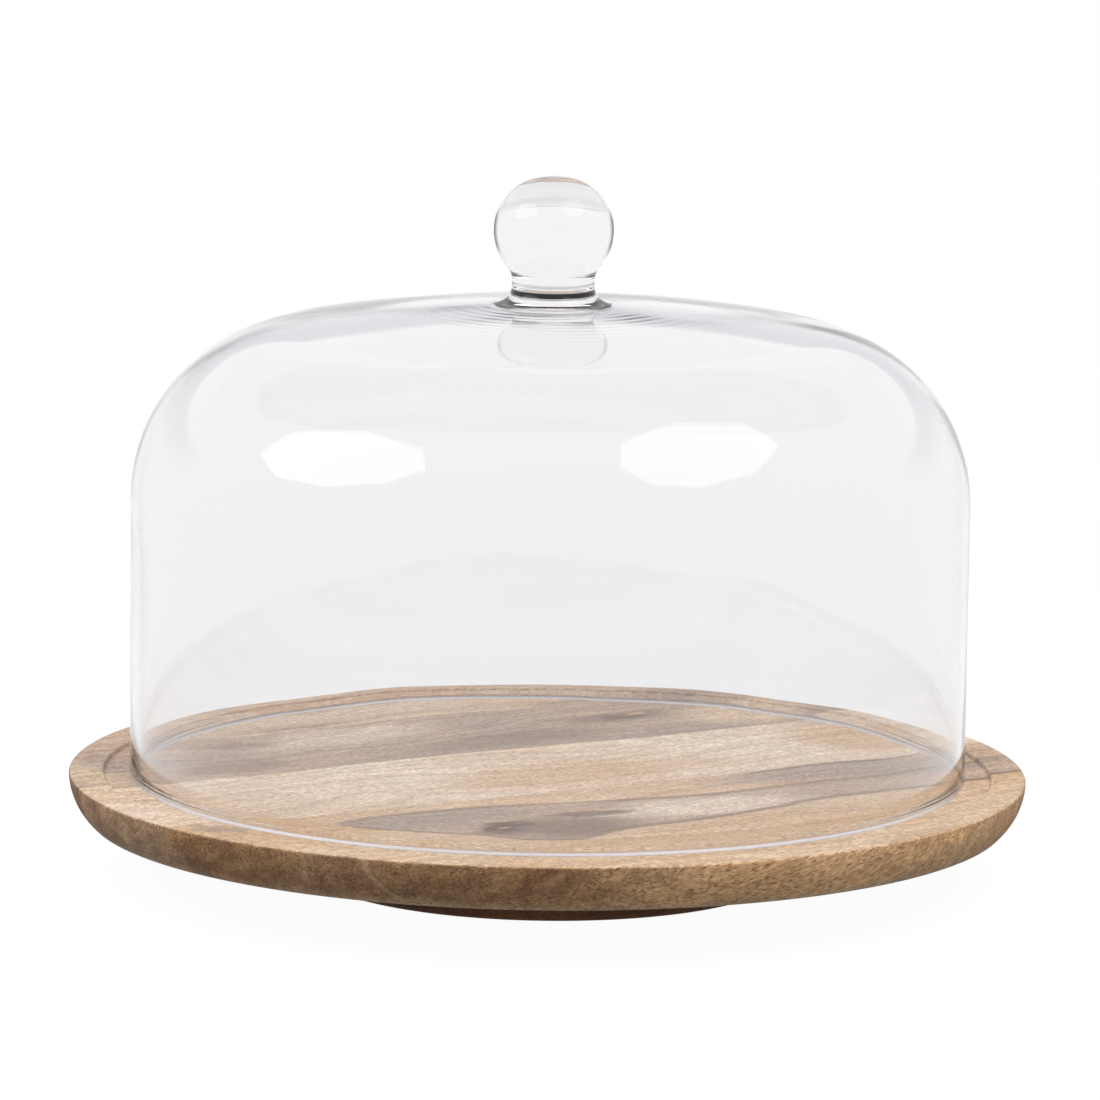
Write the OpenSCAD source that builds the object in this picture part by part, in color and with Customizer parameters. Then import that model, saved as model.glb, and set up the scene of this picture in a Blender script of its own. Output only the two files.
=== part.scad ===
// Footed wooden cheese board with a clear glass dome and a solid glass knob.
// Millimetres, +Z up. Origin: centre of the foot's underside.

/* [Board] */
// Diameter of the round board at its top edge
board_d = 330; // [260:5:360]
// Thickness of the board
board_t = 16; // [13:0.5:18]
// Radius of the curve that takes the side in under the board
side_r = 21; // [19:1:40]
// Chamfer of the board's top edge
edge_cut = 1; // [0.5:0.25:3]
// Depth of the seat that the dome stands in
seat_depth = 1.5; // [1.5:0.25:4]
// Diameter of the seat
seat_d = 306; // [299:1:316]
// Chamfer of the seat's upper edge
seat_cut = 0.8; // [0.2:0.1:1]

/* [Planks] */
// Direction of the planks, from +X towards +Y
plank_angle = 31; // [0:1:90]
// Glue line between planks 1 and 2: its distance to the front of the board's centre
glue_1 = -112; // [-140:1:-90]
// Glue line between planks 2 and 3
glue_2 = -45; // [-50:1:-30]
// Glue line between planks 3 and 4
glue_3 = 27; // [25:1:45]
// Glue line between planks 4 and 5
glue_4 = 93; // [75:1:140]

/* [Foot] */
// Diameter of the foot
foot_d = 165; // [150:5:220]
// Height of the foot
foot_h = 20; // [18:1:24]
// Rounding of the foot's lower edge
foot_edge_r = 2; // [0.5:0.25:4]

/* [Foot screws] */
// Diameter of the circle that the screws stand on
screw_pcd = 120; // [116:1:128]
// Screw shank diameter
screw_d = 4; // [3:0.5:5]
// Screw head diameter
screw_head_d = 8; // [6.5:0.5:10]
// Screw length
screw_len = 27; // [24:1:29]
// Depth of the head below the foot's underside
screw_sink = 3; // [1:0.5:5]

/* [Dome] */
// Outside diameter of the dome
dome_d = 288; // [260:1:294]
// Height of the dome from its rim to the top of the crown
dome_h = 163.8; // [140:0.1:220]
// Wall thickness
wall_t = 3; // [2:0.25:3]
// Outside radius of the shoulder
shoulder_r = 60; // [30:1:80]
// Outside radius of the crown
crown_r = 520; // [250:5:700]
// Thickness of the rounded bead round the rim
rim_bead_d = 3.4; // [3.2:0.2:7]

/* [Knob] */
// Widest diameter of the ball
knob_d = 41; // [36:0.5:55]
// Radius of the ball's upper curve, which is a little flatter than a sphere
knob_curve_r = 18; // [15:0.5:18]
// Thinnest diameter of the neck
neck_d = 28.4; // [16:0.2:34]
// Radius of the hollow curves above and below the neck
neck_curve_r = 6; // [3:0.5:8]
// Height of the neck's straight middle
neck_h = 2; // [0.25:0.25:4]

/* [Hidden] */
$fn = 96;
board_r = board_d / 2;
board_z = foot_h;
top_z = board_z + board_t;
seat_z = top_z - seat_depth;
seat_r = seat_d / 2;
foot_r = foot_d / 2;

// The rim stays just clear of the seat, so that the dome lifts freely.
seat_gap = 0.3;
rim_z = seat_z + seat_gap;
dome_r = dome_d / 2;
apex_z = rim_z + dome_h;
crown_z = apex_z - crown_r;
shoulder_x = dome_r - shoulder_r;
shoulder_z = crown_z + sqrt(pow(crown_r - shoulder_r, 2) - pow(shoulder_x, 2));
bead_r = rim_bead_d / 2;
bead_x = dome_r - wall_t / 2;

// The ball is a sphere below its widest line and a flatter curve above it. The neck
// is hollowed by a ring that touches the ball above and the crown below.
knob_r = knob_d / 2;
neck_r = neck_d / 2;
neck_low_z = apex_z + neck_curve_r;
neck_high_z = neck_low_z + neck_h;
hollow_x = neck_r + neck_curve_r;
ball_z = neck_high_z + sqrt(pow(knob_r + neck_curve_r, 2) - pow(hollow_x, 2));
ball_share = knob_r / (knob_r + neck_curve_r);
tangent_z = ball_z - (ball_z - neck_high_z) * ball_share;
knob_flare_h = 2;

screw_count = 4;
screw_turn = 75;
screw_top_z = screw_sink + screw_len;
screw_cone_h = (screw_head_d - screw_d) / 2;
screw_tip_h = 5;
screw_slot_d = 3;
screw_slot_w = 0.8;
screw_slot_h = 1.5;
reach = board_d;
glue_lines = [-reach, glue_1, glue_2, glue_3, glue_4, reach];

module board_outline() {
    difference() {
        intersection() {
            translate([0, board_z]) square([board_r, board_t]);
            union() {
                translate([0, board_z]) square([board_r - side_r, board_t]);
                translate([board_r - side_r, top_z]) circle(r = side_r);
            }
        }
        translate([board_r - edge_cut, top_z])
            polygon([[0, 0], [2 * edge_cut, -2 * edge_cut], [2 * edge_cut, board_t], [0, board_t]]);
    }
}

module seat_outline() {
    translate([0, seat_z]) square([seat_r, board_t]);
    translate([seat_r, top_z])
        polygon([[-1, -seat_cut], [0, -seat_cut], [seat_cut, 0], [seat_cut, board_t], [-1, board_t]]);
}

module board_blank() {
    difference() {
        rotate_extrude() difference() {
            board_outline();
            seat_outline();
        }
        at_screws() screw_body();
    }
}

// Plank i is the part of the board between two glue lines.
module stave(i) {
    intersection() {
        board_blank();
        rotate([0, 0, plank_angle - 90])
            translate([glue_lines[i - 1], -reach, 0])
                cube([glue_lines[i] - glue_lines[i - 1], 2 * reach, 2 * top_z]);
    }
}

module at_screws() {
    for (k = [0 : screw_count - 1])
        rotate([0, 0, plank_angle + screw_turn + k * 360 / screw_count])
            translate([screw_pcd / 2, 0, 0]) children();
}

module screw_body() {
    translate([0, 0, screw_sink])
        cylinder(d1 = screw_head_d, d2 = screw_d, h = screw_cone_h);
    translate([0, 0, screw_sink + screw_cone_h])
        cylinder(d = screw_d, h = screw_len - screw_cone_h - screw_tip_h);
    translate([0, 0, screw_top_z - screw_tip_h])
        cylinder(d1 = screw_d, d2 = 0.4, h = screw_tip_h);
}

module stave_1() color([0.66, 0.49, 0.36]) stave(1);
module stave_2() color([0.60, 0.46, 0.36]) stave(2);
module stave_3() color([0.78, 0.62, 0.46]) stave(3);
module stave_4() color([0.57, 0.43, 0.33]) stave(4);
module stave_5() color([0.74, 0.55, 0.36]) stave(5);

module foot() color([0.55, 0.38, 0.24]) difference() {
    rotate_extrude() union() {
        translate([0, foot_edge_r]) square([foot_r, foot_h - foot_edge_r]);
        square([foot_r - foot_edge_r, foot_h]);
        translate([foot_r - foot_edge_r, foot_edge_r]) circle(r = foot_edge_r);
    }
    at_screws() screw_body();
    at_screws() translate([0, 0, -1]) cylinder(d = screw_head_d + 0.6, h = screw_sink + 1);
}

module foot_screws() color([0.72, 0.72, 0.70]) at_screws() difference() {
    screw_body();
    rotate([0, 0, 20]) translate([0, 0, screw_sink]) {
        cube([screw_slot_d, screw_slot_w, 2 * screw_slot_h], center = true);
        cube([screw_slot_w, screw_slot_d, 2 * screw_slot_h], center = true);
    }
}

// Where the shoulder's curve meets the crown's, for a wall face moved in by the inset.
function crown_edge(inset) = (crown_r - inset) * shoulder_x / (crown_r - shoulder_r);

module dome_region(inset, from_z) {
    translate([0, from_z]) square([dome_r - inset, shoulder_z - from_z]);
    translate([shoulder_x, shoulder_z]) circle(r = shoulder_r - inset);
    intersection() {
        translate([0, from_z]) square([crown_edge(inset), dome_h]);
        translate([0, crown_z]) circle(r = crown_r - inset);
    }
}

module glass_dome() color([0.90, 0.93, 0.95, 0.35]) rotate_extrude() {
    difference() {
        dome_region(0, rim_z + bead_r);
        dome_region(wall_t, rim_z);
    }
    translate([bead_x, rim_z + bead_r]) circle(r = bead_r);
}

module knob_region() {
    intersection() {
        union() {
            translate([0, ball_z - knob_curve_r])
                square([knob_r - knob_curve_r, 2 * knob_curve_r]);
            translate([knob_r - knob_curve_r, ball_z]) circle(r = knob_curve_r);
        }
        translate([0, ball_z - knob_curve_r]) square([knob_r, 2 * knob_curve_r]);
    }
    intersection() {
        translate([0, ball_z]) circle(r = knob_r);
        translate([0, neck_high_z]) square([knob_r, ball_z - neck_high_z]);
    }
    difference() {
        translate([0, apex_z - knob_flare_h]) square([hollow_x, tangent_z - apex_z + knob_flare_h]);
        translate([hollow_x, neck_low_z]) circle(r = neck_curve_r);
        translate([neck_r, neck_low_z]) square([hollow_x, neck_h]);
        translate([hollow_x, neck_high_z]) circle(r = neck_curve_r);
    }
}

module glass_knob() color([0.90, 0.93, 0.95, 0.35]) difference() {
    rotate_extrude() knob_region();
    translate([0, 0, crown_z]) sphere(r = crown_r);
}

stave_1();
stave_2();
stave_3();
stave_4();
stave_5();
foot();
foot_screws();
glass_dome();
glass_knob();
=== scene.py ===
import math

import bmesh
import bpy
from mathutils import Matrix, Vector, noise


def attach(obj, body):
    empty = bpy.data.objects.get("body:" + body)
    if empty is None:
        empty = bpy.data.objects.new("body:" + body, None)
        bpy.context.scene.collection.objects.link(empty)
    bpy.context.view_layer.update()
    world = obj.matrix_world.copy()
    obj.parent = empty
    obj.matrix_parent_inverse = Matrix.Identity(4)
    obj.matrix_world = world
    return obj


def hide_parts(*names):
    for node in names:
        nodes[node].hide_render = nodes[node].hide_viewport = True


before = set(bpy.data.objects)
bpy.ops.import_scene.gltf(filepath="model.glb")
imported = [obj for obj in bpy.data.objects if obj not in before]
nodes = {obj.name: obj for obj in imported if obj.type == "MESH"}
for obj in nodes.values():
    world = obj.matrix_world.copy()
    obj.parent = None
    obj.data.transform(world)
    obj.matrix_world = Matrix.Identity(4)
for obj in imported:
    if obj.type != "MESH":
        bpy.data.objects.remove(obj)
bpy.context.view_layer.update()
scene = bpy.context.scene

# ---------------------------------------------------------------- sizes

# In metres. The board's and the dome's sizes are the driving sizes of the CAD.
BOARD_R = 0.165
BOARD_Z = 0.020
TOP_Z = 0.036
SEAT_Z = 0.0345
SEAT_R = 0.153
SIDE_R = 0.021
# The planks' direction, and where they meet across it, from back to front.
GRAIN = math.radians(31)
GLUE = [0.112, 0.045, -0.027, -0.093]
# The rounding of the lip's outer edge and of the seat's edge.
EASE_R = 0.0010
SEAT_EASE_R = 0.0008
# Rows of points this far beside an edge keep the flat faces next to it flat in the shading.
HOLD = 0.0003
# The small bevel under the curved side takes this much off its turn, in degrees.
BEVEL_TURN = 1.2

# The dome and its knob.
DOME_R = 0.144
WALL = 0.003
SHOULDER_R = 0.060
CROWN_R = 0.520
BEAD_R = 0.0017
RIM_Z = 0.0348
APEX_Z = RIM_Z + 0.1638
KNOB_R = 0.0205
KNOB_CURVE_R = 0.018
NECK_R = 0.0142
NECK_CURVE_R = 0.006
NECK_H = 0.002

CROWN_Z = APEX_Z - CROWN_R
SHOULDER_X = DOME_R - SHOULDER_R
SHOULDER_Z = CROWN_Z + math.sqrt((CROWN_R - SHOULDER_R) ** 2 - SHOULDER_X**2)
FLARE_R = NECK_R + NECK_CURVE_R

# The wood's figure is drawn in millimetres, in a square that reaches PLOT each way.
MM = 0.001
PLOT = 170 * MM
# How far a drawn line takes to begin and to end.
LINE_FADE = 8 * MM


def srgb(r, g, b):
    """A colour given as 0-255 screen values, as the linear values the shaders use."""
    out = []
    for c in (r, g, b):
        c /= 255
        out.append(c / 12.92 if c <= 0.04045 else ((c + 0.055) / 1.055) ** 2.4)
    return (*out, 1.0)


# ---------------------------------------------------------------- node helper


class Shade:
    """Builds the nodes of one material, or of the world. Most methods return a socket."""

    def __init__(self, name, block=None):
        self.block = block or bpy.data.materials.new(name)
        self.block.use_nodes = True
        self.tree = self.block.node_tree
        self.tree.nodes.clear()

    def put(self, socket, value):
        if isinstance(value, bpy.types.NodeSocket):
            self.tree.links.new(value, socket)
        else:
            socket.default_value = value

    def node(self, kind, inputs=(), **settings):
        n = self.tree.nodes.new(kind)
        for key, value in settings.items():
            setattr(n, key, value)
        for key, value in dict(inputs).items():
            self.put(n.inputs[key], value)
        return n

    def math(self, op, a, b=None):
        inputs = {0: a} if b is None else {0: a, 1: b}
        return self.node("ShaderNodeMath", inputs, operation=op).outputs[0]

    def vec(self, op, a, b=None):
        inputs = {0: a} if b is None else {0: a, 1: b}
        n = self.node("ShaderNodeVectorMath", inputs, operation=op)
        return n.outputs["Value" if op == "LENGTH" else "Vector"]

    def parts(self, vector):
        """The three parts of a vector."""
        return self.node("ShaderNodeSeparateXYZ", {0: vector}).outputs

    def noise(self, where, often, detail=2.0, rough=0.5, colour=False):
        """Noise that changes so often in a metre: one number, or one for each direction."""
        if isinstance(often, tuple):
            where = self.vec("MULTIPLY", where, often)
            often = 1.0
        n = self.node(
            "ShaderNodeTexNoise",
            {"Vector": where, "Scale": often, "Detail": detail, "Roughness": rough},
        )
        return n.outputs[1 if colour else 0]

    def remap(self, value, lo, hi, to_lo=0.0, to_hi=1.0, smooth=True):
        """Carries lo..hi to to_lo..to_hi, held at the ends."""
        n = self.node(
            "ShaderNodeMapRange",
            {0: value, 1: lo, 2: hi, 3: to_lo, 4: to_hi},
            interpolation_type="SMOOTHSTEP" if smooth else "LINEAR",
        )
        return n.outputs[0]

    def mix(self, factor, a, b, blend="MIX"):
        n = self.node("ShaderNodeMix", {0: factor, 6: a, 7: b}, data_type="RGBA", blend_type=blend)
        return n.outputs[2]

    def tinted(self, colour, tint):
        return self.mix(1.0, colour, tint, "MULTIPLY")

    def ramp(self, factor, *stops):
        n = self.node("ShaderNodeValToRGB", {0: factor})
        elements = n.color_ramp.elements
        while len(elements) < len(stops):
            elements.new(0.5)
        for element, (at, colour) in zip(elements, stops):
            element.position = at
            element.color = colour
        return n.outputs[0]

    def ellipse(self, where, centre, size, turn):
        """1 in the middle of an ellipse in millimetres, falling softly to 0 just outside it."""
        n = self.node(
            "ShaderNodeMapping",
            {
                "Vector": where,
                "Location": (centre[0] * MM, centre[1] * MM, 0),
                "Rotation": (0, 0, math.radians(turn)),
                # It is so tall that the height of the place hardly counts.
                "Scale": (size[0] * MM, size[1] * MM, 5),
            },
            vector_type="TEXTURE",
        )
        distance = self.vec("LENGTH", n.outputs[0])
        return self.remap(distance, 0.45, 1.25, 1.0, 0.0)

    def track(self, u, points):
        """The height across the grain of a line drawn through points given in millimetres."""
        along = self.remap(u, -PLOT, PLOT, smooth=False)
        n = self.node("ShaderNodeFloatCurve", {"Value": along})
        curve = n.mapping.curves[0]
        unit = MM / (2 * PLOT)
        spots = [(0.5 + x * unit, 0.5 + y * unit) for x, y in points]
        curve.points[0].location = spots[0]
        curve.points[1].location = spots[-1]
        for spot in spots[1:-1]:
            curve.points.new(*spot)
        n.mapping.update()
        return self.remap(n.outputs[0], 0, 1, -PLOT, PLOT, smooth=False)

    def line(self, u, v, points, width):
        """1 on a line drawn through listed points, falling to 0 at its width in millimetres and
        past its ends.
        """
        gap = self.math("ABSOLUTE", self.math("SUBTRACT", v, self.track(u, points)))
        thin = self.remap(gap, width * MM / 4, width * MM, 1.0, 0.0)
        first = points[0][0] * MM
        last = points[-1][0] * MM
        begun = self.remap(u, first, first + LINE_FADE)
        ended = self.remap(u, last - LINE_FADE, last, 1.0, 0.0)
        return self.math("MULTIPLY", thin, self.math("MULTIPLY", begun, ended))

    def bump(self, height, strength, distance):
        inputs = {"Strength": strength, "Distance": distance, "Height": height}
        return self.node("ShaderNodeBump", inputs).outputs[0]

    def principled(self, **inputs):
        named = {key.replace("_", " "): value for key, value in inputs.items()}
        return self.node("ShaderNodeBsdfPrincipled", named).outputs[0]

    def blend(self, factor, a, b):
        """One shader where the factor is 0 and the other where it is 1."""
        return self.node("ShaderNodeMixShader", {0: factor, 1: a, 2: b}).outputs[0]

    def finish(self, surface):
        self.node("ShaderNodeOutputMaterial", {"Surface": surface})
        return self.block


# ---------------------------------------------------------------- wood

CREAM = srgb(227, 207, 187)
TAN = srgb(214, 187, 159)
GOLD = srgb(204, 169, 132)
MID = srgb(190, 161, 139)
GREY = srgb(164, 145, 131)
DARK = srgb(132, 108, 94)
KNOT = srgb(84, 54, 38)
# The foot's colours are darker than the board's: partly its own wood, partly painted shade for the
# shade under the board.
FOOT_SHADED_LIGHT = srgb(134, 84, 44)
FOOT_SHADED_DARK = srgb(102, 62, 30)

# Two growth lines bound the dark heart of the fourth plank, which reaches into the fifth.
# Millimetres along and across the grain, from the board's centre.
HEART_TOP = [(-108, -42), (-88, -38), (-60, -37), (-40, -40), (-20, -46), (0, -52), (50, -56),
             (115, -52), (150, -50)]
HEART_LOW = [(-108, -42), (-99, -52), (-87, -65), (-75, -77), (-60, -97), (-45, -100),
             (-30, -94), (0, -91), (40, -85), (60, -80), (120, -78), (150, -78)]
HEART = [
    ((-78, -52), (20, 15), -20, GREY, 0.8),
    ((20, -72), (44, 15), 0, CREAM, 0.9),
    ((90, -66), (50, 9), 0, MID, 0.8),
    ((-42, -82), (30, 19), -12, DARK, 0.9),
    ((-22, -66), (16, 5), -12, KNOT, 0.7),
    ((-60, -72), (14, 8), 20, KNOT, 0.9),
    ((-58, -73), (3, 2), 20, GOLD, 0.9),
]

# How often each kind of mark repeats in a metre: along the grain, across it, and up.
DRIFT = (14, 30, 30)
WANDER = (60, 170, 170)
BANDS = (9, 30, 30)
FLOW = (6, 17, 17)
FLECK = (100, 300, 300)
GRIT = (380, 1050, 950)
FIBRE = (260, 2100, 1600)
PORES = (340, 1700, 1600)
CROWDS = (70, 160, 160)
STAIN = (110, 90, 200)
# How often growth rings come across the grain, and how far a flow and a climb shift them.
RINGS = 190.0
RING_FLOW = 0.085
RING_CLIMB = 0.6
# How much the fibres rise along a plank.
FIBRE_RISE = 0.30
# The board's curved side is further than this from the origin; the wall of its seat is nearer.
SIDE_FROM = 0.1575
# What the curved side, cut fibres and open pores do to the wood's colour. The side's tint is
# lighter and warmer: partly the wood's own tone, partly painted light on the side.
SIDE_TINT_AND_LIGHT = (1.24, 1.06, 0.82, 1)
CUT_TINT = (0.39, 0.35, 0.325, 1)
PORE_TINT = (0.34, 0.24, 0.17, 1)
# The sapwood ring: where it meets the top across the grain, its lean and bend, its strength.
SAP_AT = -0.101
SAP_LEAN = 0.15
SAP_BEND = 18.0
SAP_STRENGTH = 0.4


def paint(s, colour, where, patches):
    """Adds soft patches: (centre, size, turn, colour, amount), in millimetres."""
    for centre, size, turn, tone, amount in patches:
        mask = s.ellipse(where, centre, size, turn)
        colour = s.mix(s.math("MULTIPLY", mask, amount), colour, tone)
    return colour


def draw(s, colour, u, v, lines):
    """Adds dark growth lines: (points, width, amount), in millimetres."""
    for points, width, amount in lines:
        drawn = s.math("MULTIPLY", s.line(u, v, points, width), amount)
        colour = s.mix(drawn, colour, KNOT)
    return colour


def shifted(s, where, often, far, detail):
    """A push to and fro, for edges that wander."""
    push = s.noise(where, often, detail, 0.55, colour=True)
    return s.vec("MULTIPLY", s.vec("SUBTRACT", push, (0.5, 0.5, 0.5)), far)


def heart_figure(s, colour, broad, soft, u, v):
    """Adds the dark heart between its two growth lines, and then the lines."""
    inside = paint(s, s.mix(s.remap(broad, 0.4, 0.6), MID, GREY), soft, HEART)
    under = s.math("SUBTRACT", s.track(u, HEART_TOP), v)
    over = s.math("SUBTRACT", v, s.track(u, HEART_LOW))
    deep = s.remap(s.math("MINIMUM", under, over), 0.0, 1.4 * MM)
    tip = HEART_TOP[0][0] * MM
    deep = s.math("MULTIPLY", deep, s.remap(u, tip, tip + 4 * MM))
    colour = s.mix(deep, colour, inside)
    return draw(s, colour, u, v, ((HEART_TOP, 2.6, 0.50), (HEART_LOW, 2.6, 0.58)))


def ring_lines(s, place):
    """Growth rings cut at a flat angle: lines of one age, which flow round each other."""
    parts = s.parts(place)
    flow = s.noise(place, FLOW, 2.0, 0.45)
    age = s.math("ADD", parts[1], s.math("MULTIPLY", flow, RING_FLOW))
    age = s.math("ADD", age, s.math("MULTIPLY", parts[2], RING_CLIMB))
    return s.node(
        "ShaderNodeTexNoise",
        {"W": age, "Scale": RINGS, "Detail": 4.0, "Roughness": 0.62},
        noise_dimensions="1D",
    ).outputs[0]


def pore_marks(s, risen):
    """1 in a pore. The pores are short, and stand in crowds."""
    cells = s.node(
        "ShaderNodeTexVoronoi",
        {"Vector": s.vec("MULTIPLY", risen, PORES), "Scale": 1.0, "Randomness": 1.0},
    ).outputs
    pick = s.node("ShaderNodeSeparateColor", {0: cells["Color"]}).outputs[0]
    pore = s.remap(cells["Distance"], 0.20, 0.46, 1.0, 0.0)
    crowd = s.remap(s.noise(risen, CROWDS), 0.35, 0.65, 0.25, 0.9)
    return s.math("MULTIPLY", pore, s.remap(s.math("SUBTRACT", crowd, pick), -0.1, 0.2))


def side_marks(s, coords, risen):
    """1 on the board's curved side, and then how much that cuts across the fibres."""
    normal = s.node(
        "ShaderNodeVectorRotate",
        {"Vector": coords["Normal"], "Angle": -GRAIN},
        rotation_type="Z_AXIS",
    ).outputs[0]
    facing = s.parts(normal)
    across = s.math(
        "MAXIMUM",
        s.remap(facing[0], -0.50, -0.15, 1.0, 0.0),
        s.remap(facing[0], 0.30, 0.90, 0.0, 0.5),
    )
    upright = s.remap(s.math("ABSOLUTE", facing[2]), 0.55, 0.85, 1.0, 0.0)
    outer = s.remap(s.vec("LENGTH", coords["Object"]), SIDE_FROM, SIDE_FROM + 1 * MM)
    side = s.math("MULTIPLY", upright, outer)
    stain = s.remap(s.noise(risen, STAIN, 4.0, 0.65), 0.38, 0.62, 0.70, 1.0)
    return side, s.math("MULTIPLY", side, s.math("MULTIPLY", across, stain))


def sapwood_ring(s, turned, cut):
    """The ring of pale sapwood that shows on a plank's sawn end, curving down the side."""
    place = s.parts(turned)
    depth = s.math("SUBTRACT", TOP_Z, place[2])
    bend = s.math("MULTIPLY", depth, s.math("ADD", s.math("MULTIPLY", depth, SAP_BEND), SAP_LEAN))
    gap = s.math("SUBTRACT", s.math("ADD", place[1], bend), SAP_AT)
    ring = s.remap(s.math("ABSOLUTE", gap), 0.3 * MM, 1.4 * MM, 1.0, 0.0)
    return s.math("MULTIPLY", s.math("MULTIPLY", ring, cut), SAP_STRENGTH)


def wood(name, base, patches=(), lines=(), heart=False, sapwood=False, *, seed):
    """One plank's wood: base is the two colours that its broad bands swing between."""
    s = Shade(name)
    coords = s.node("ShaderNodeTexCoord").outputs
    turned = s.node(
        "ShaderNodeMapping",
        {"Vector": coords["Object"], "Rotation": (0, 0, -GRAIN)},
    ).outputs[0]
    where = s.vec("ADD", turned, shifted(s, turned, DRIFT, (0.010, 0.006, 0.006), 2.0))
    soft = s.vec("ADD", where, shifted(s, turned, WANDER, (0.022, 0.012, 0.012), 4.0))
    u, v = s.parts(where)[:2]
    offset = s.vec("ADD", turned, (seed, seed * 0.37, 0))

    # Broad bands, then the plank's own patches, its dark heart and its growth lines.
    broad = s.noise(offset, BANDS, 5.0, 0.6)
    colour = s.mix(s.remap(broad, 0.34, 0.66), *base)
    colour = paint(s, colour, soft, patches)
    if heart:
        colour = heart_figure(s, colour, broad, soft, u, v)
    colour = draw(s, colour, u, v, lines)

    # Rings, fleck, grit and fibres. The last two numbers of each are how dark and how light
    # its marks make the wood. Darker marks are also warmer.
    rise = s.math("MULTIPLY", s.parts(offset)[0], -FIBRE_RISE)
    risen = s.vec("ADD", offset, s.node("ShaderNodeCombineXYZ", {2: rise}).outputs[0])
    fleck = s.noise(risen, FLECK, 3.0, 0.6)
    grit = s.noise(risen, GRIT, 2.0, 0.6)
    fibre = s.noise(risen, FIBRE, 2.0, 0.6)
    tone = s.remap(ring_lines(s, offset), 0.36, 0.64, 0.87, 1.07, smooth=False)
    tone = s.math("MULTIPLY", tone, s.remap(fleck, 0.38, 0.62, 0.90, 1.07, smooth=False))
    tone = s.math("MULTIPLY", tone, s.remap(grit, 0.37, 0.63, 0.76, 1.17, smooth=False))
    tone = s.math("MULTIPLY", tone, s.remap(fibre, 0.35, 0.65, 0.88, 1.09, smooth=False))
    warm = s.math("POWER", tone, 1.15)
    shade = s.node("ShaderNodeCombineColor", {0: tone, 1: warm, 2: s.math("POWER", tone, 1.3)})
    colour = s.tinted(colour, shade.outputs[0])

    # The side is painted lighter and warmer: partly the wood's own tone, partly painted light on
    # the side. Where it cuts across the fibres it drinks more oil and is dark.
    side, cut = side_marks(s, coords, risen)
    colour = s.mix(side, colour, s.tinted(colour, SIDE_TINT_AND_LIGHT))
    colour = s.mix(cut, colour, s.tinted(colour, CUT_TINT))
    if sapwood:
        colour = s.mix(sapwood_ring(s, turned, cut), colour, TAN)

    pore = pore_marks(s, risen)
    pore_dark = s.math("MULTIPLY", pore, s.remap(side, 0, 1, 0.60, 0.95, smooth=False))
    colour = s.mix(pore_dark, colour, s.tinted(colour, PORE_TINT))
    height = s.math("SUBTRACT", s.math("MULTIPLY", fibre, 0.6), pore)
    height = s.math("ADD", height, s.math("MULTIPLY", fleck, 0.5))
    rough = s.remap(fleck, 0.3, 0.7, 0.46, 0.64)
    return s.finish(
        s.principled(Base_Color=colour, Roughness=rough, Normal=s.bump(height, 0.30, 0.4 * MM))
    )


WOODS = {
    "stave_1": wood(
        "wood_tan",
        (TAN, MID),
        [
            ((0, 132), (60, 12), 0, CREAM, 0.45),
            ((80, 110), (24, 11), 0, DARK, 0.45),
            ((-35, 116), (26, 3), 0, DARK, 0.5),
            ((0, 148), (70, 5), 0, GOLD, 0.7),
        ],
        seed=0.7,
    ),
    "stave_2": wood(
        "wood_grey_brown",
        (MID, GREY),
        [
            ((-30, 93), (42, 16), 4, CREAM, 0.6),
            ((122, 66), (26, 20), 0, TAN, 0.9),
            ((-146, 70), (16, 30), 0, TAN, 0.7),
            ((-88, 62), (24, 13), 10, DARK, 0.55),
            ((24, 62), (44, 12), 4, DARK, 0.6),
            ((78, 82), (26, 8), 8, DARK, 0.8),
            ((80, 82), (8, 4), 8, KNOT, 0.6),
            ((-70, 96), (16, 6), 0, DARK, 0.5),
            ((90, 85), (4, 2), 20, GOLD, 0.9),
        ],
        [([(-125, 80), (-110, 84), (-95, 78), (-88, 70)], 1.6, 0.35)],
        seed=1.9,
    ),
    "stave_3": wood(
        "wood_cream",
        (CREAM, TAN),
        [
            ((4, -2), (48, 24), 0, GOLD, 0.75),
            ((132, 10), (26, 32), 10, GOLD, 0.8),
            ((86, 16), (22, 34), 50, CREAM, 0.9),
            ((-60, 36), (46, 10), 0, CREAM, 0.8),
            ((-118, -2), (30, 22), 0, TAN, 0.8),
        ],
        seed=3.1,
    ),
    "stave_4": wood(
        "wood_heart",
        (TAN, GOLD),
        [
            ((100, -40), (62, 15), 0, GREY, 0.95),
            ((-132, -55), (34, 26), 0, GOLD, 0.7),
            ((-148, -35), (10, 9), 0, GREY, 0.8),
        ],
        [([(60, -31), (85, -29), (110, -29), (140, -28)], 1.8, 0.6)],
        heart=True,
        seed=4.3,
    ),
    "stave_5": wood(
        "wood_golden",
        (GOLD, TAN),
        [((10, -118), (90, 12), 0, GOLD, 0.5), ((100, -112), (50, 14), 0, TAN, 0.7)],
        heart=True,
        sapwood=True,
        seed=5.9,
    ),
    # The foot's wood is painted darker, partly as painted shade under the board.
    "foot": wood("wood_foot", (FOOT_SHADED_LIGHT, FOOT_SHADED_DARK), seed=7.7),
}

# ---------------------------------------------------------------- screws

STEEL_DULL = srgb(150, 150, 146)
STEEL_BRIGHT = srgb(196, 196, 190)


def steel():
    s = Shade("screw_steel")
    dull = s.noise(s.node("ShaderNodeTexCoord").outputs["Object"], 900.0, 3.0, 0.6)
    colour = s.ramp(dull, (0.3, STEEL_DULL), (0.7, STEEL_BRIGHT))
    rough = s.remap(dull, 0.3, 0.7, 0.25, 0.45)
    bump = s.bump(dull, 0.2, 0.1 * MM)
    return s.finish(s.principled(Base_Color=colour, Metallic=1.0, Roughness=rough, Normal=bump))


for node, material in (("foot", WOODS["foot"]), ("foot_screws", steel())):
    for slot in nodes[node].material_slots:
        slot.material = material

# ---------------------------------------------------------------- glass

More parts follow.
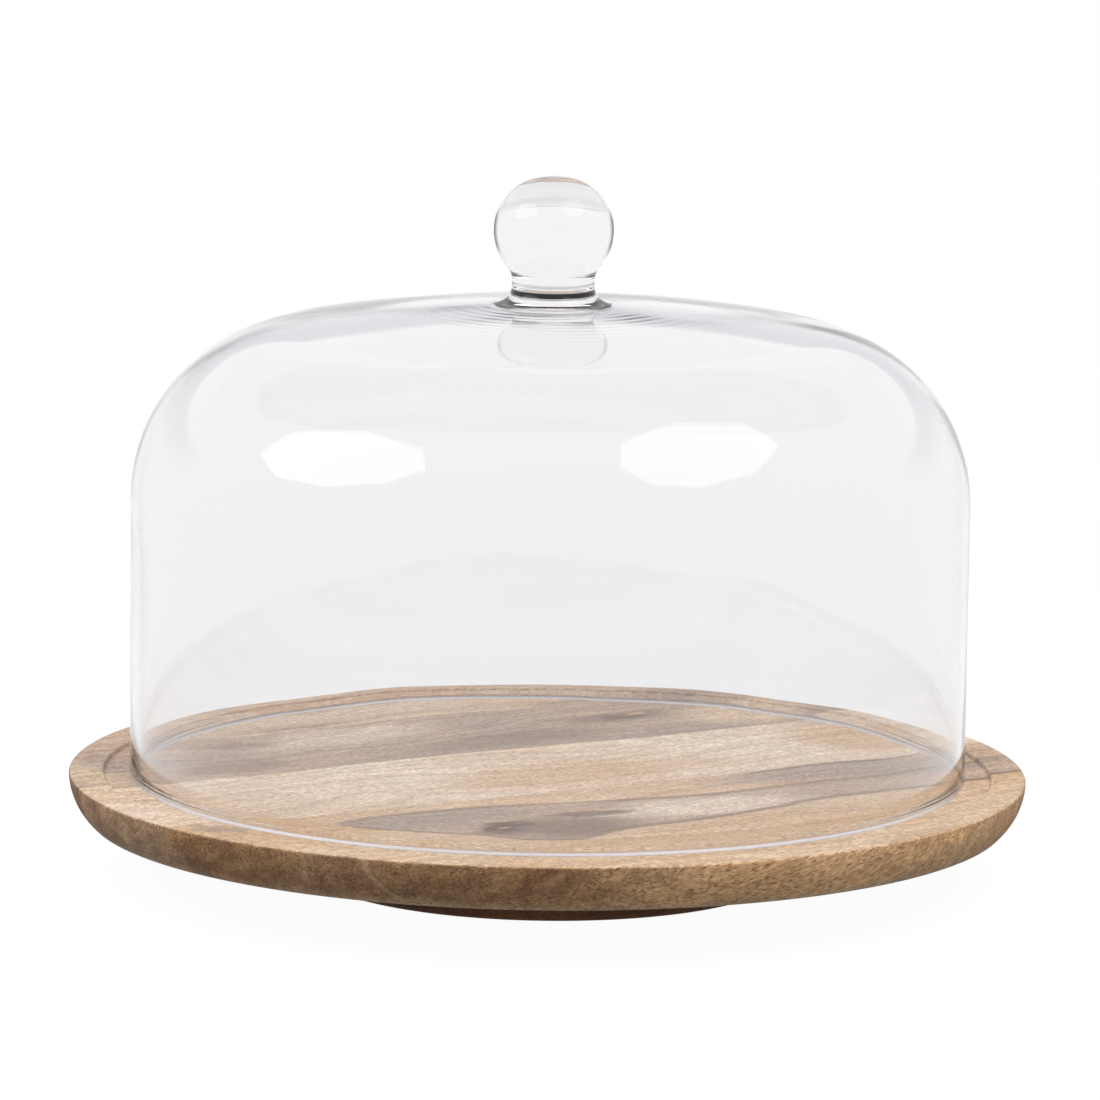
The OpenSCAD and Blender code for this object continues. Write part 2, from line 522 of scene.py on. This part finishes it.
GLASS_IOR = 1.5
LIGHT_TINT = (0.96, 0.96, 0.965, 1)
RIM_TINT = (0.79, 0.74, 0.74, 1)
# Painted shade: the dome's glass tint is greyer low down and lighter towards the top.
DOME_SHADED_TINTS = ((0.912, 0.912, 0.922, 1), (0.953, 0.953, 0.962, 1))
KNOB_TINTS = ((0.895, 0.895, 0.908, 1), (0.915, 0.915, 0.926, 1))
# Painted shade: the dark grey painted on the knob ball's edge.
PAINTED_EDGE_GREY = srgb(96, 96, 104)
# The rim is ground matt up to the first height and clear from the second.
GROUND_TO = RIM_Z + 0.8 * MM
CLEAR_FROM = RIM_Z + 2.2 * MM
# The ball's painted dark edge, a painted shade, begins above the neck at the first height, and is
# full at the second.
PAINTED_EDGE_FROM = APEX_Z + 12 * MM
PAINTED_EDGE_FULL = APEX_Z + 16 * MM


def clear_glass(s, coords, colour, roughness):
    """Soda glass, faintly uneven as blown glass is."""
    return s.principled(
        Base_Color=colour,
        Roughness=roughness,
        IOR=GLASS_IOR,
        Transmission_Weight=1.0,
        Normal=s.bump(s.noise(coords, 22.0), 0.05, 1 * MM),
    )


def lets_light_in(s, glass):
    """Glass that lets lamplight straight through, so that the board inside is lit."""
    clear = s.node("ShaderNodeBsdfTransparent", {0: LIGHT_TINT}).outputs[0]
    path = s.node("ShaderNodeLightPath").outputs
    lit = s.blend(path["Is Shadow Ray"], glass, clear)
    return s.blend(path["Is Diffuse Ray"], lit, clear)


def dome_glass():
    """Clear soda glass with painted shade: greyer low down and lighter towards the top. The rim is
    ground flat and a little matt.
    """
    s = Shade("dome_glass")
    coords = s.node("ShaderNodeTexCoord").outputs["Object"]
    height = s.parts(coords)[2]
    colour = s.mix(s.remap(height, RIM_Z, APEX_Z, smooth=False), *DOME_SHADED_TINTS)
    ground = s.remap(height, GROUND_TO, CLEAR_FROM, 1.0, 0.0)
    colour = s.mix(ground, colour, RIM_TINT)
    body = clear_glass(s, coords, colour, s.math("MULTIPLY", ground, 0.22))
    return s.finish(lets_light_in(s, body))


def knob_glass():
    """The same glass, solid, with painted shade: a dark grey edge painted round the ball's widest
    part.
    """
    s = Shade("knob_glass")
    coords = s.node("ShaderNodeTexCoord").outputs
    colour = s.mix(s.remap(s.noise(coords["Object"], 60.0), 0.3, 0.7), *KNOB_TINTS)
    clear = clear_glass(s, coords["Object"], colour, 0.0)
    # Painted shade: a dark grey edge where the ball's side is upright and turns away from the eye.
    grazing = s.node("ShaderNodeLayerWeight", {"Blend": 0.5}).outputs["Facing"]
    level = s.math("ABSOLUTE", s.parts(coords["Normal"])[2])
    edge = s.math("MULTIPLY", s.remap(grazing, 0.60, 0.85), s.remap(level, 0.20, 0.50, 0.85, 0.0))
    height = s.parts(coords["Object"])[2]
    edge = s.math("MULTIPLY", edge, s.remap(height, PAINTED_EDGE_FROM, PAINTED_EDGE_FULL))
    painted_edge = s.principled(Base_Color=PAINTED_EDGE_GREY, Roughness=0.1)
    return s.finish(lets_light_in(s, s.blend(edge, clear, painted_edge)))


def joint_glass():
    """The hidden faces where the knob is fused to the crown: no surface is there to see."""
    s = Shade("glass_joint")
    return s.finish(s.node("ShaderNodeBsdfTransparent").outputs[0])


# ---------------------------------------------------------------- turned shapes

# A point nearer to the axis than this is on it.
ON_AXIS = 1e-7


def arc(centre, radius, start, stop, steps):
    """Points (radius, height) along an arc, angles in degrees from the outward direction."""
    out = []
    for i in range(steps + 1):
        a = math.radians(start + (stop - start) * i / steps)
        out.append((centre[0] + radius * math.cos(a), centre[1] + radius * math.sin(a)))
    return out


def between(a, b, steps):
    """Points from just after a up to b."""
    return [
        (a[0] + (b[0] - a[0]) * i / steps, a[1] + (b[1] - a[1]) * i / steps)
        for i in range(1, steps + 1)
    ]


def spin(name, profile, segments, wobble=None, slots=None):
    """Turns a profile that starts and ends on the axis into a closed solid.

    The wobble moves a point of the profile's row i. The slots are the rows' material indices.
    """
    bm = bmesh.new()
    rings = []
    for i, (r, z) in enumerate(profile):
        if r < ON_AXIS:
            rings.append([bm.verts.new((0, 0, z))])
            continue
        ring = []
        for k in range(segments):
            a = 2 * math.pi * k / segments
            p = Vector((r * math.cos(a), r * math.sin(a), z))
            ring.append(bm.verts.new(p + wobble(i, p) if wobble else p))
        rings.append(ring)
    for i in range(len(rings) - 1):
        low, high = rings[i], rings[i + 1]
        for k in range(segments):
            m = (k + 1) % segments
            if len(low) == 1:
                corners = (low[0], high[k], high[m])
            elif len(high) == 1:
                corners = (low[k], high[0], low[m])
            else:
                corners = (low[k], high[k], high[m], low[m])
            face = bm.faces.new(corners)
            face.smooth = True
            face.material_index = slots[i] if slots else 0
    bmesh.ops.recalc_face_normals(bm, faces=bm.faces)
    mesh = bpy.data.meshes.new(name)
    bm.to_mesh(mesh)
    bm.free()
    obj = bpy.data.objects.new(name, mesh)
    scene.collection.objects.link(obj)
    return obj


# ---------------------------------------------------------------- the board's planks

# Faces that meet at a sharper turn than this keep a crisp edge between them.
CRISP = math.radians(40)


def board_profile():
    """Out along the underside, up the curved side, in over the eased lip and down to the seat."""
    corner = math.degrees(math.asin((BOARD_Z - TOP_Z) / SIDE_R))
    side = (BOARD_R - SIDE_R, TOP_Z)
    top_turn = -math.degrees(math.asin(EASE_R / SIDE_R))
    under = side[0] + SIDE_R * math.cos(math.radians(corner))
    points = [(0.0, BOARD_Z), (under - 2 * HOLD, BOARD_Z), (under - HOLD, BOARD_Z)]
    points += arc(side, SIDE_R, corner + BEVEL_TURN, top_turn, 16)
    points += arc((BOARD_R - EASE_R, TOP_Z - EASE_R), EASE_R, 0, 90, 6)[1:]
    points.append((BOARD_R - EASE_R - HOLD, TOP_Z))
    points.append((SEAT_R + SEAT_EASE_R + HOLD, TOP_Z))
    points += arc((SEAT_R + SEAT_EASE_R, TOP_Z - SEAT_EASE_R), SEAT_EASE_R, 90, 180, 6)
    hollow = SEAT_EASE_R / 2
    points += arc((SEAT_R - hollow, SEAT_Z + hollow), hollow, 0, -90, 4)
    points.append((SEAT_R - hollow - HOLD, SEAT_Z))
    points.append((0.0, SEAT_Z))
    return points


def stave(board, name, front, back):
    """The slice of the turned board between two glue lines, with closed ends.

    The first plank has no line behind it and the last has none in front.
    """
    bm = bmesh.new()
    bm.from_mesh(board)
    across = Vector((-math.sin(GRAIN), math.cos(GRAIN), 0))
    for at, way in ((front, -1), (back, 1)):
        if at is None:
            continue
        everything = bm.verts[:] + bm.edges[:] + bm.faces[:]
        bmesh.ops.bisect_plane(
            bm, geom=everything, plane_co=across * at, plane_no=across * way, clear_outer=True
        )
        rim = [edge for edge in bm.edges if edge.is_boundary]
        bmesh.ops.holes_fill(bm, edges=rim, sides=0)
    mesh = bpy.data.meshes.new(name)
    bm.to_mesh(mesh)
    bm.free()
    mesh.set_sharp_from_angle(angle=CRISP)
    obj = bpy.data.objects.new(name, mesh)
    scene.collection.objects.link(obj)
    return obj


board = spin("board", board_profile(), segments=384)
edges = [None] + GLUE + [None]
for i, (back, front) in enumerate(zip(edges, edges[1:]), 1):
    node = f"stave_{i}"
    piece = stave(board.data, f"wood_{node}", front, back)
    piece.data.materials.append(WOODS[node])
    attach(piece, "board")
    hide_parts(node)
bpy.data.objects.remove(board)

# ---------------------------------------------------------------- the dome and its knob

# The blown wall swells and dips this much, this often in a metre.
SWELL = 0.00010
SWELLS = 28
# The wall's inside takes its swelling from another place, so that it differs from the outside.
INNER_SHIFT = (7, 3, 5)
# Ripples run round the knob: their height, their length, and how far out from the neck's
# flare they take to begin and then to die away.
RIPPLE = 0.000011
RIPPLE_LENGTH = 0.0046
RIPPLE_BEGIN = 0.004
RIPPLE_END = 0.050
# How often in a metre the ripples are stronger and weaker.
RIPPLE_PATCHES = 40
# The neck's flare meets the sloping crown a little short of straight down (270 degrees).
FLARE_START = 268
# Turns in degrees from the outward direction: where the crown meets the shoulder, and where
# it meets the edge of the neck's flare.
crown_turn = math.degrees(math.asin((SHOULDER_Z - CROWN_Z) / (CROWN_R - SHOULDER_R)))
flare_turn = math.degrees(math.acos(FLARE_R / CROWN_R))
crown_at_flare = arc((0, CROWN_Z), CROWN_R, 90, flare_turn, 12)


def dome_profile():
    """Down the outside from the crown's top, round the rim's bead, and up the inside."""
    outer = list(crown_at_flare)
    joint = len(outer) - 1
    outer += arc((0, CROWN_Z), CROWN_R, flare_turn, crown_turn, 110)[1:]
    outer += arc((SHOULDER_X, SHOULDER_Z), SHOULDER_R, crown_turn, 0, 40)[1:]
    bead = (DOME_R - WALL / 2, RIM_Z + BEAD_R)
    reach = math.degrees(math.acos(WALL / 2 / BEAD_R))
    start = (DOME_R, bead[1] + BEAD_R * math.sin(math.radians(reach)))
    outer += between((DOME_R, SHOULDER_Z), start, 30)
    outer += arc(bead, BEAD_R, reach, -180 - reach, 22)[1:]
    outer += between(outer[-1], (DOME_R - WALL, SHOULDER_Z), 30)
    outer += arc((SHOULDER_X, SHOULDER_Z), SHOULDER_R - WALL, 0, crown_turn, 40)[1:]
    outer += arc((0, CROWN_Z), CROWN_R - WALL, crown_turn, 90, 140)[1:]
    # Both ends are put exactly on the axis.
    outer[0] = (0.0, outer[0][1])
    outer[-1] = (0.0, outer[-1][1])
    return outer, joint


def knob_profile():
    """Out along the joint with the crown, then up the neck and round the ball."""
    low = (FLARE_R, APEX_Z + NECK_CURVE_R)
    high = (FLARE_R, APEX_Z + NECK_CURVE_R + NECK_H)
    rise = math.sqrt((KNOB_R + NECK_CURVE_R) ** 2 - FLARE_R**2)
    lean = math.degrees(math.atan2(rise, FLARE_R))
    middle = high[1] + rise
    points = [(0.0, crown_at_flare[0][1])] + crown_at_flare[1:]
    joint = len(points) - 1
    points += arc(low, NECK_CURVE_R, FLARE_START, 180, 20)
    points += between(points[-1], (NECK_R, high[1]), 4)
    points += arc(high, NECK_CURVE_R, 180, 180 - lean, 12)[1:]
    points += arc((0, middle), KNOB_R, -lean, 0, 30)[1:]
    points += arc((KNOB_R - KNOB_CURVE_R, middle), KNOB_CURVE_R, 0, 90, 36)[1:]
    points += between(points[-1], (0.0, points[-1][1]), 3)
    return points, joint


dome_points, dome_joint = dome_profile()


def dome_wobble(i, p):
    """Blown glass: the wall swells and dips a little, and the crown ripples round the knob."""
    r = math.hypot(p.x, p.y)
    if i <= dome_joint + 1:
        return Vector((0, 0, 0))
    inner = i > len(dome_points) // 2
    push = SWELL * noise.noise(p * SWELLS + Vector(INNER_SHIFT if inner else (0, 0, 0)))
    if p.z < SHOULDER_Z:
        return Vector((p.x, p.y, 0)) / r * push
    begun = min(1.0, max(0.0, (r - FLARE_R) / RIPPLE_BEGIN))
    left = max(0.0, 1 - (r - FLARE_R) / RIPPLE_END)
    uneven = 0.6 + 1.4 * noise.noise(Vector((p.x * RIPPLE_PATCHES, p.y * RIPPLE_PATCHES, 2)))
    push += RIPPLE * begun * left * uneven * math.sin(2 * math.pi * r / RIPPLE_LENGTH)
    return (p - Vector((0, 0, CROWN_Z))).normalized() * push


def joint_first(points, joint):
    """Material 1 for the rows up to the joint's edge, and material 0 for the rest."""
    return [1 if i < joint else 0 for i in range(len(points))]


dome_slots = joint_first(dome_points, dome_joint)
dome = spin("dome_glass_shell", dome_points, segments=320, wobble=dome_wobble, slots=dome_slots)
knob_points, knob_joint = knob_profile()
knob_slots = joint_first(knob_points, knob_joint)
knob = spin("knob_glass_ball", knob_points, segments=192, slots=knob_slots)

JOINT = joint_glass()
for piece, node, slot_name, material in (
    (dome, "glass_dome", "dome_glass", dome_glass()),
    (knob, "glass_knob", "knob_glass", knob_glass()),
):
    piece.data.materials.append(material)
    piece.data.materials.append(JOINT)
    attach(piece, "dome")
    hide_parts(node)

# ---------------------------------------------------------------- floor, light and camera

WHITE = (1, 1, 1, 1)
DUSK = (0.52, 0.51, 0.58, 1)
PAPER = (0.06, 0.06, 0.06, 1)
# How brightly the floor lights things and how bright it looks, near the object and far off.
NEAR_LAMP = 0.22
NEAR_LOOK = 0.96
FAR_LAMP = 0.3
FAR_LOOK = 1.0
# The near paper gives way to the far white between these distances from the middle.
NEAR_R = 0.35
FAR_R = 0.8
# The front of the dome's shoulder, which the softboxes face.
SHOULDER_FRONT = Vector((0, -0.12, 0.165))
BOX_SIDES = 8


def flat_shape(name, sides, radius, material):
    """A flat shape with equal sides, kept out of the object."""
    bm = bmesh.new()
    bmesh.ops.create_circle(bm, cap_ends=True, segments=sides, radius=radius)
    mesh = bpy.data.meshes.new(name)
    bm.to_mesh(mesh)
    bm.free()
    mesh.materials.append(material)
    obj = bpy.data.objects.new(name, mesh)
    scene.collection.objects.link(obj)
    return obj


def seen(s):
    """1 for what is looked at, straight or through glass, and 0 for lamplight."""
    path = s.node("ShaderNodeLightPath").outputs
    return s.math("MAXIMUM", path["Is Camera Ray"], path["Is Singular Ray"])


def glow(s, lamp, look):
    """White light: how strongly it lights things, and how bright it looks."""
    power = s.remap(seen(s), 0, 1, lamp, look, smooth=False)
    return s.node("ShaderNodeEmission", {0: WHITE, 1: power}).outputs[0]


def floor():
    """White paper that glows, so that it is evenly white and takes only a trace of shadow."""
    s = Shade("floor")
    distance = s.vec("LENGTH", s.node("ShaderNodeTexCoord").outputs["Object"])
    paper = s.node("ShaderNodeBsdfDiffuse", {0: PAPER}).outputs[0]
    near = s.node("ShaderNodeAddShader", {0: paper, 1: glow(s, NEAR_LAMP, NEAR_LOOK)}).outputs[0]
    top = s.blend(s.remap(distance, NEAR_R, FAR_R), near, glow(s, FAR_LAMP, FAR_LOOK))
    # From below it isn't there, so that the foot's underside can be looked at.
    under = s.node("ShaderNodeBsdfTransparent").outputs[0]
    back = s.node("ShaderNodeNewGeometry").outputs["Backfacing"]
    sheet = s.finish(s.blend(back, top, under))
    flat_shape("floor", sides=96, radius=1.6, material=sheet)


def softbox(name, centre, width, height, lamp, glint):
    """An eight-sided softbox that faces the dome's shoulder; glint is how bright it looks."""
    s = Shade(name)
    box = flat_shape(name, BOX_SIDES, 1.0, s.finish(glow(s, lamp, glint)))
    way = Vector(centre) - SHOULDER_FRONT
    box.matrix_world = (
        Matrix.Translation(centre)
        @ way.to_track_quat("Z", "Y").to_matrix().to_4x4()
        @ Matrix.Diagonal((width / 2, height / 2, 1, 1))
        @ Matrix.Rotation(math.pi / BOX_SIDES, 4, "Z")
    )
    box.visible_camera = False


def surroundings():
    """White all round to look at, with a dusky band behind the object that its crown mirrors.

    Its lamplight falls from above.
    """
    world = bpy.data.worlds.new("studio")
    scene.world = world
    s = Shade("studio", world)
    way = s.parts(s.node("ShaderNodeTexCoord").outputs["Generated"])
    band = s.ramp(way[2], (0.08, WHITE), (0.22, DUSK), (0.262, DUSK), (0.285, WHITE))
    path = s.node("ShaderNodeLightPath").outputs
    mirrored = s.math("MULTIPLY", path["Is Reflection Ray"], s.remap(way[1], 0.4, 0.7))
    look = s.mix(mirrored, WHITE, band)
    lamp = s.remap(way[2], -0.1, 0.6, 0.22, 0.85)
    lamp = s.node("ShaderNodeCombineColor", {0: lamp, 1: lamp, 2: lamp}).outputs[0]
    colour = s.mix(seen(s), lamp, look)
    sky = s.node("ShaderNodeBackground", {"Color": colour, "Strength": 1.0}).outputs[0]
    s.node("ShaderNodeOutputWorld", {"Surface": sky})


def camera():
    """On the photograph's line of sight: 2.6 m away, looking 9 degrees down, a little rolled."""
    data = bpy.data.cameras.new("camera")
    data.sensor_width = 36
    data.lens = 246.2
    cam = bpy.data.objects.new("camera", data)
    scene.collection.objects.link(cam)
    distance = 2.6
    lift, pitch, roll = map(math.radians, (11.04, 9.368, 0.69))
    cam.matrix_world = (
        Matrix.Translation((0, -distance * math.cos(lift), TOP_Z + distance * math.sin(lift)))
        @ Matrix.Rotation(math.pi / 2 - pitch, 4, "X")
        @ Matrix.Rotation(roll, 4, "Z")
    )
    scene.camera = cam


camera()
floor()
surroundings()
softbox("softbox_left", (-1.215, -0.38, 1.21), width=1.49, height=0.87, lamp=4.4, glint=2.3)
softbox("softbox_right", (0.785, -0.53, 1.38), width=1.43, height=0.87, lamp=4.4, glint=2.2)
scene.view_settings.view_transform = "Standard"

bpy.context.view_layer.update()
